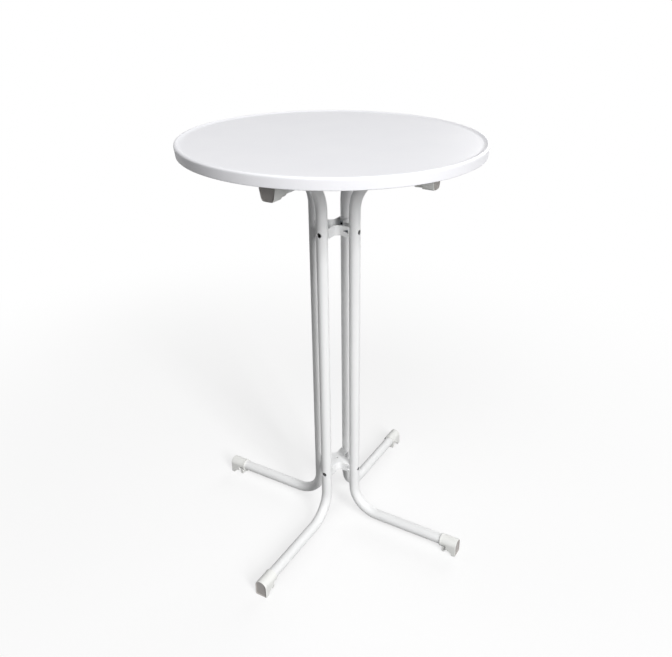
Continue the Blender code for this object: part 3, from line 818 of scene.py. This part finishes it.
def gusset_shape():
    """Thin brace from the mouth to the lug: a rounded plate closed to a point on either side."""
    outline = rounded_rectangle(*GUSSET_BOX, GUSSET_CORNER, 5)
    middle = outline.mean(axis=0)
    pole = np.tile(middle, (len(outline), 1))
    return closed_shape(plate_rings(outline, middle, GUSSET_HALF, GUSSET_EDGE, pole))


def cap_shape(flare):
    """Cap, lug and gusset as one shape, and the number per point that says what carries the painted
    shade.
    """
    stations, in_painted_shade = cap_stations(flare)
    rings = cap_ring(stations)
    shape = together(closed_shape(rings), lug_shape(), gusset_shape())
    painted_shade = np.zeros(len(shape[0]))
    painted_shade[:rings.shape[0] * rings.shape[1]] = np.repeat(in_painted_shade, rings.shape[1])
    return shape, painted_shade


# %% [markdown]
# The cap at the foot is used as it is, the one at the arm has the flared block and is turned
# half round about the tube. Both are pushed out until their end faces lie at the measured reach.

# %% Caps
cap_rows = []
for kind, flare, roll, reach, height in (("foot", 0.0, 0.0, LEG_REACH, LEG_Z),
                                         ("arm", 1.0, math.pi, ARM_REACH, ARM_Z)):
    # The second value marks the recessed end face, whose grey is painted shade.
    shape, painted_shade = cap_shape(flare)
    placed = shifted(turned(shape, "X", roll), reach - CAP_LENGTH, height)
    cap_rows.append((kind + "_end_", placed, kind + "_cap_", "moulded_cap", CAP_PLASTIC,
                     {"painted_shade": painted_shade}))
in_corners(cap_rows)

# %% [markdown]
# ## The cross hubs
#
# Two small cross-shaped trays hold the four posts, one high and one low. Each arm of the cross
# ends in a hollow that hugs its tube. On two opposite arms the side walls end in a lying V. The
# upper tray is open at the top, the lower one is the same part turned over.
#
# The tray is three kinds of shell. The first is its floor, a stack of rings round the cross: seen
# from its middle a cross is seen whole, so the outline shrinks towards the centre hole, and at
# the wall it climbs in a cove.

# %% Hub floor
HUB_HALF = 0.0125
HUB_WIDTH = 0.0130
HUB_FILLET = 0.0120
HUB_WALL = 0.0020
HUB_COVE = 0.0010
HUB_COPE = TUBE_RADIUS + 0.0003
HUB_HOLE = 0.0025
FLOOR_INSET = 0.0010
FLOOR_LIFT = 0.0001


def hub_outline(inset):
    """Plan outline drawn in by a distance: narrower arms, larger hollows and inner corners."""
    width = HUB_WIDTH - inset
    cope = HUB_COPE + inset
    fillet = HUB_FILLET + inset
    half_angle = math.asin(width / cope)
    hollow = np.linspace(-half_angle, half_angle, 17)
    centre = width + fillet
    corner = np.linspace(0.0, np.pi / 2, 9)
    tip = TUBE_CIRCLE - cope * math.cos(half_angle)
    side = np.linspace(0.0, 1.0, 6)[1:-1]
    x = np.concatenate([TUBE_CIRCLE - cope * np.cos(hollow), tip + (centre - tip) * side,
                        centre - fillet * np.sin(corner), np.full(4, width)])
    y = np.concatenate([cope * np.sin(hollow), np.full(4, width),
                        centre - fillet * np.cos(corner), centre + (tip - centre) * side])
    turns = np.arange(4) * np.pi / 2
    cosine, sine = np.cos(turns)[:, None], np.sin(turns)[:, None]
    return np.stack([cosine * x - sine * y, sine * x + cosine * y], axis=-1).reshape(-1, 2)


def hub_floor():
    """Rings (inset, height, share of the way to the centre hole), closed on themselves."""
    inner = HUB_WALL - HUB_HALF
    cove_top = inner + HUB_COVE
    side = HUB_WALL + HUB_COVE
    stations = [(FLOOR_INSET, FLOOR_LIFT - HUB_HALF, share) for share in (1.0, 0.5, 0.0)]
    stations += [(FLOOR_INSET, cove_top, 0.0)]
    stations += [(side - HUB_COVE * math.cos(t), cove_top - HUB_COVE * math.sin(t), 0.0)
                 for t in np.radians([0.0, 30.0, 60.0, 90.0])]
    stations += [(side, inner, 0.5), (side, inner, 1.0)]
    rings = []
    for inset, height, share in stations:
        outline = hub_outline(inset)
        ray = outline / np.linalg.norm(outline, axis=-1, keepdims=True)
        plan = outline * (1 - share) + ray * HUB_HOLE * share
        rings.append(np.column_stack([plan, np.full(len(plan), height)]))
    return closed_shape(np.stack(rings), again=True)


# %% [markdown]
# The other two shells are walls. Each of the four corner walls is a strip: one parameter runs
# along it, from tip to tip round the inner corner, and the other round its section. One of its
# ends is drawn back by a length that depends on the height, which is the V, and mirror images
# bring two Vs to the same arm. The four end walls are strips round the tubes.

# %% Hub walls
HUB_REACH = 0.0475
WALL_EDGE = 0.0004
EDGE_SHARE = 0.3
NOTCH_START = 0.0285
NOTCH_HALF = 0.0066
END_WALL_OVERLAP = 0.0002
END_WALL_SHARE = 0.996


def wall_section(heights_between):
    """Section of a wall as (inset, height), once round: up the outer face, down the inner one."""
    near = WALL_EDGE * EDGE_SHARE
    heights = np.concatenate([[-HUB_HALF, -HUB_HALF + near, -HUB_HALF + WALL_EDGE],
                              heights_between, [HUB_HALF - WALL_EDGE, HUB_HALF - near, HUB_HALF]])
    outer = np.concatenate([[WALL_EDGE, near, 0.0], 0.0 * heights_between, [0.0, near, WALL_EDGE]])
    return (np.concatenate([outer, HUB_WALL - outer[::-1]]),
            np.concatenate([heights, heights[::-1]]))


def corner_wall():
    """Wall round one inner corner, between the arms on +X and +Y.

    The middle rows follow the inner corner's arc. On a straight row, x is the arc's end plus a
    share of the way to the wall's own end at that height: the tube's hollow on +X and, on +Y,
    that or the notch, which is its apex plus the height over its half height times its depth.
    """
    inset, height = wall_section(np.linspace(-NOTCH_HALF, NOTCH_HALF, 13))
    width = HUB_WIDTH - inset
    centre = HUB_WIDTH + HUB_FILLET
    plain = np.minimum(TUBE_CIRCLE - np.sqrt(HUB_COPE ** 2 - width ** 2), HUB_REACH)
    notch = NOTCH_START + (HUB_REACH - NOTCH_START) * np.abs(height) / NOTCH_HALF
    cut = np.minimum(plain, notch)
    share = np.linspace(1.0, 0.0, 7)[:-1, None]
    angle = np.linspace(0.0, np.pi / 2, 13)[:, None]
    fillet = HUB_FILLET + inset
    x = np.concatenate([centre + (plain - centre) * share, centre - fillet * np.sin(angle),
                        width + 0 * share])
    y = np.concatenate([width + 0 * share, centre - fillet * np.cos(angle),
                        centre + (cut - centre) * share[::-1]])
    return strip_shape(np.stack([x, y, height + 0 * x], axis=-1))


def end_wall():
    """Wall that hugs the tube on +X: an arc of radius hollow plus inset, a hair less high."""
    inset, height = wall_section(np.array([0.0]))
    reach = HUB_COPE + inset
    half = np.arcsin((HUB_WIDTH - HUB_WALL + END_WALL_OVERLAP) / reach)
    angle = half * np.linspace(-1.0, 1.0, 17)[:, None]
    return strip_shape(np.stack([TUBE_CIRCLE - reach * np.cos(angle), reach * np.sin(angle),
                                 height * END_WALL_SHARE + 0 * angle], axis=-1))


def hub_shape():
    """The floor, four end walls, and the corner wall and its mirror image, each twice."""
    corner = corner_wall()
    image = (corner[0] * np.array([1.0, -1.0, 1.0]), corner[1])
    walls = [turned(end_wall(), "Z", quarter * math.pi / 2) for quarter in range(4)]
    walls += [turned(wall, "Z", half * math.pi) for wall in (corner, image) for half in range(2)]
    return together(hub_floor(), *walls)


# %% [markdown]
# The cross is turned by 45 degrees, so that its arms point at the tubes. The lower one is turned
# over about X and by a quarter about Z, which brings its Vs under those of the upper one.

# %% Hubs
cross = turned(hub_shape(), "Z", math.pi / 4)
cross_over = turned(turned(cross, "X", math.pi), "Z", math.pi / 2)
for level, shape, height in (("upper", cross, UPPER_HUB_Z), ("lower", cross_over, LOWER_HUB_Z)):
    hub = make_piece("cross_hub_" + level, shifted(shape, 0.0, height), "hub_" + level,
                     "powder_coated_steel", POWDER_COAT)
tell(hub)

# %% [markdown]
# ## The saddle blocks
#
# Between each arm and the flat underside of the top sits a moulded block. Its two cheeks come
# down beside the tube, a half-round groove lies on it, and it runs on flat over the end cap.
#
# The block is a strip along the arm. Its section goes out across the bottom and back across the
# top. The bottom's height is a function of the place across: the groove's circle near the middle
# and level beside it, and beyond the cheeks level all over. A Bevel then rounds the mould's edges.

# %% Saddle blocks
SADDLE_GAP = 0.0003
SADDLE_HALF = 0.017
SADDLE_START = 0.155
SADDLE_STEP = 0.2085
SADDLE_END = 0.262
SADDLE_ROUND = 0.0012
CHEEK_HEIGHT = 0.006
SADDLE_HEAD = UNDERSIDE - SADDLE_GAP
SADDLE_REST = ARM_Z + LEG_Z + SADDLE_GAP
SADDLE_FOOT = ARM_Z + CHEEK_HEIGHT


def saddle_shape():
    """Four sections: two with the groove, and from the step on two that are level below."""
    groove = TUBE_RADIUS + SADDLE_GAP
    mouth = math.sqrt(groove ** 2 - CHEEK_HEIGHT ** 2)
    aside = np.concatenate([[-SADDLE_HALF], mouth * -np.cos(np.linspace(0.0, np.pi, 25)),
                            [SADDLE_HALF]])
    circle = ARM_Z + np.sqrt(np.clip(groove ** 2 - aside ** 2, CHEEK_HEIGHT ** 2, None))
    hugging = np.where(np.abs(aside) <= mouth + 1e-9, circle, SADDLE_FOOT)
    hugging[[1, -2]] = SADDLE_FOOT
    flat = np.full(len(aside), SADDLE_REST)
    y = np.concatenate([aside, aside[::-1]])
    rows = []
    for along, under in ((SADDLE_START, hugging), (SADDLE_STEP, hugging),
                         (SADDLE_STEP, flat), (SADDLE_END, flat)):
        z = np.concatenate([under, np.full(len(aside), SADDLE_HEAD)])
        rows.append(np.stack([np.full(len(y), along), y, z], axis=-1))
    return strip_shape(np.stack(rows))


for block in in_corners([("saddle_", saddle_shape(), "saddle_block_", "moulded_cap",
                          CAP_PLASTIC, {})]):
    rounding = block.modifiers.new("mould_round", "BEVEL")
    rounding.width = SADDLE_ROUND
    rounding.segments = 3
    rounding.limit_method = "ANGLE"
    rounding.angle_limit = math.radians(50.0)

# %% [markdown]
# ## Bolts
#
# A socket-head bolt goes through the inner wall of each tube into the hub, where a square nut
# takes it. Its head sits inside the tube, so it only shows dark, deep in a round hole.
# Four longer ones of the same kind go up through the arms into the top.
#
# The bolt is a stack of rings along its own axis, each a circle or, in the socket, a hexagon. On
# the last stretch of the shank the radius follows the thread: it falls and rises by 0.3 mm once
# per millimetre, and one turn round moves the pattern one millimetre on.

# %% Bolts
BOLT_SEAT = -0.0109
HEAD_RADIUS = 0.0050
HEAD_HEIGHT = 0.0042
HEAD_ROUND = 0.0002
SOCKET_REACH = 0.0022
SHANK_RADIUS = 0.0030
SHANK_CHAMFER = 0.0006
THREAD_LENGTH = 0.0100
THREAD_DEPTH = 0.0003
THREAD_PITCH = 0.0010
BOLT_TIP = 0.032
TOP_BOLT_BITE = 0.008


def spun(along, reach, turn):
    """Points round the X axis: y and z are the reach times the cosine and sine of the turn."""
    return np.stack([along + 0 * turn, reach * np.cos(turn), reach * np.sin(turn)], axis=-1)


def bolt_shape(tip):
    """Rings (along, radius, share of hexagon, depth of thread) from the tip to the socket."""
    head = BOLT_SEAT + HEAD_HEIGHT
    thread_end = tip + THREAD_LENGTH
    threaded = np.arange(tip + SHANK_CHAMFER, thread_end, THREAD_PITCH / 8)
    stations = [(tip, 0.0, 0, 0), (tip, SHANK_RADIUS - SHANK_CHAMFER, 0, 0)]
    stations += [(place, SHANK_RADIUS, 0, THREAD_DEPTH) for place in threaded]
    stations += [
        (thread_end, SHANK_RADIUS, 0, 0), (BOLT_SEAT, SHANK_RADIUS, 0, 0),
        (BOLT_SEAT, HEAD_RADIUS - HEAD_ROUND, 0, 0), (BOLT_SEAT + HEAD_ROUND, HEAD_RADIUS, 0, 0),
        (head - 0.0006, HEAD_RADIUS, 0, 0), (head - 0.00015, HEAD_RADIUS - HEAD_ROUND, 0, 0),
        (head, HEAD_RADIUS - 0.0006, 0, 0), (head, 0.00255, 0, 0),
        (head - 0.0002, SOCKET_REACH, 1, 0), (head - 0.0020, SOCKET_REACH, 1, 0),
        (head - 0.0026, 0.0, 1, 0),
    ]
    along, radius, hexagon, thread = [column[:, None] for column in np.array(stations).T]
    turn = np.linspace(0.0, 2 * np.pi, 48, endpoint=False)[None, :]
    flat = math.cos(math.pi / 6) / np.cos((turn + np.pi / 6) % (np.pi / 3) - np.pi / 6)
    phase = (along / THREAD_PITCH - turn / (2 * np.pi)) % 1.0
    reach = radius * (1 + hexagon * (flat - 1)) - thread * np.abs(2 * phase - 1)
    return closed_shape(spun(along, reach, turn))


hub_bolt = bolt_shape(BOLT_TIP - TUBE_CIRCLE)
top_bolt = turned(bolt_shape(ARM_Z - UNDERSIDE - TOP_BOLT_BITE), "Y", math.pi / 2)

# %% [markdown]
# ## Square nuts
#
# The nuts lie in the tray of the hub, against its end walls. A nut's ring is a square or a circle,
# whichever is nearer to the axis. So where the circle grows from the face on, it cuts the corners
# as a turned chamfer does.

# %% Nuts and places
NUT_FACE = -0.0166
NUT_HALF = 0.0050
NUT_PROFILE = (
    (0.0, 0.0026), (0.0, 0.0052), (-0.0003, 0.0058), (-0.0008, 0.0066), (-0.0052, 0.0066),
    (-0.0057, 0.0058), (-0.0060, 0.0052), (-0.0060, 0.0034), (-0.0056, 0.0030),
    (-0.0004, 0.0030),
)


def nut_shape():
    """Rings (along, circle's radius) whose reach is the lesser of the square's and the circle's."""
    along, circle = [column[:, None] for column in np.array(NUT_PROFILE).T]
    turn = np.linspace(0.0, 2 * np.pi, 64, endpoint=False)[None, :] + np.pi / 64
    square = NUT_HALF / np.maximum(np.abs(np.cos(turn)), np.abs(np.sin(turn)))
    return closed_shape(spun(NUT_FACE + along, np.minimum(square, circle), turn), again=True)


square_nut = nut_shape()
bolt_rows = []
for level, height in (("upper_", UPPER_HUB_Z), ("lower_", LOWER_HUB_Z)):
    bolt_rows.append(("bolt_" + level, shifted(hub_bolt, TUBE_CIRCLE, height),
                      "hub_bolt_" + level, "black_bolt", BLACK_OXIDE, {}))
    bolt_rows.append(("nut_" + level, shifted(square_nut, TUBE_CIRCLE, height),
                      "hub_nut_" + level, "zinc_nut", ZINC_PLATE, {}))
bolt_rows.append(("bolt_top_", shifted(top_bolt, TOP_BOLT_AT, ARM_Z), "top_bolt_", "black_bolt",
                  BLACK_OXIDE, {}))
in_corners(bolt_rows)

# %% [markdown]
# ## Floor and background
#
# The photograph shows the table on plain white. To the camera and in reflections the floor is
# mostly plain white and partly what the lamps put on it, a part that fades with distance, so it
# keeps a faint shadow. For other rays it is a middle grey, so little light bounces up.

# %% Floor
FLOOR_HALF = 30.0
SHADOW_SHARE = 0.30
SHADOW_NEAR = 0.6
SHADOW_FAR = 2.2
WHITE = linear("#FFFFFF")


def show_to_camera(tree):
    """1 for camera, glossy and transmission rays, 0 for the rest: the largest of three flags."""
    path = add(tree, "LightPath")
    flag = (path, "Is Camera Ray")
    for ray in ("Is Glossy Ray", "Is Transmission Ray"):
        flag = (add(tree, "Math", None, {0: flag, 1: (path, ray)}, operation="MAXIMUM"), "Value")
    return flag


def mixed(tree, share, first, second):
    """Two shaders mixed by a share. Each is a node and the name of its output, as is the mix."""
    return add(tree, "MixShader", None, {0: share, 1: first, 2: second}), "Shader"


floor_white, tree = new_material("pale_studio_floor")
place = add(tree, "TexCoord")
spread = add(tree, "VectorMath", None, {0: (place, "Object")}, operation="LENGTH")
fade = add(tree, "MapRange", {"From Min": SHADOW_NEAR, "From Max": SHADOW_FAR,
                              "To Min": SHADOW_SHARE, "To Max": 0.0},
           {"Value": (spread, "Value")}, interpolation_type="SMOOTHSTEP")
plain = add(tree, "Emission", {"Color": WHITE})
lit = add(tree, "BsdfDiffuse", {"Color": WHITE})
matt = add(tree, "BsdfDiffuse", {"Color": linear("#8C8C8C")})
seen = mixed(tree, (fade, "Result"), (plain, "Emission"), (lit, "BSDF"))
both = mixed(tree, show_to_camera(tree), (matt, "BSDF"), seen)
add(tree, "OutputMaterial", None, {"Surface": both})

floor_mesh = bpy.data.meshes.new("studio_floor")
floor_mesh.from_pydata([(x * FLOOR_HALF, y * FLOOR_HALF, 0.0)
                        for x, y in ((-1, -1), (1, -1), (1, 1), (-1, 1))], [], [(0, 1, 2, 3)])
floor_mesh.materials.append(floor_white)
studio_floor = put_in_scene("studio_floor", floor_mesh)
print("floor: %.0f m wide" % studio_floor.dimensions.x)

# %% [markdown]
# The world is white for the camera and in reflections, and almost nothing for the rest, so the
# dark sides of the posts stay dark.

# %% World
AMBIENT = 0.015
world = bpy.data.worlds.new("studio_white")
world.use_nodes = True
tree = world.node_tree
tree.nodes.clear()
strength = add(tree, "MapRange", {"To Min": AMBIENT, "To Max": 1.0},
               {"Value": show_to_camera(tree)})
sky = add(tree, "Background", {"Color": WHITE}, {"Strength": (strength, "Result")})
add(tree, "OutputWorld", None, {"Surface": (sky, "Background")})
bpy.context.scene.world = world

# %% [markdown]
# ## The lamps
#
# The shading says where the light was: the skirt is dark at the left and light from before its
# middle on, only the left edges of the posts are dark, and the top's shadow fades out over a
# hand's breadth of them. So one tall soft lamp stands right of the camera, 28 degrees up.
# Three weak ones, high in front, at the left and behind at the right, keep the dark sides
# readable. Each stands on a sphere round its target and points at it. The powers were fitted to
# the tubes and the skirt.

# %% Lamps
FRONT = math.degrees(CAMERA_HEADING) + 180.0
LAMP_TARGET = (0.0, 0.0, 0.6)
# Name, degrees from the camera's side, degrees up, distance, width and height in metres, watts.
LAMPS = (
    ("key_lamp", 32.0, 28.0, 7.0, 1.8, 3.4, 454.0),
    ("front_lamp", -5.0, 55.0, 4.0, 2.0, 2.0, 50.0),
    ("left_lamp", -120.0, 45.0, 4.0, 2.0, 2.0, 24.0),
    ("back_lamp", 150.0, 15.0, 4.0, 2.0, 2.0, 60.0),
)

for name, aside, rise, distance, width, tall, power in LAMPS:
    heading = math.radians(FRONT + aside)
    away = towards(heading, math.radians(rise))
    right = np.array([-math.sin(heading), math.cos(heading), 0.0])
    light = bpy.data.lights.new(name, "AREA")
    light.shape = "RECTANGLE"
    light.size = width
    light.size_y = tall
    light.energy = power
    lamp = put_in_scene(name, light)
    lamp.matrix_world = aimed(right, np.cross(away, right), away,
                              np.array(LAMP_TARGET) + away * distance)
    print("%s: %.0f W" % (name, power))
bpy.context.scene.view_settings.view_transform = "Standard"
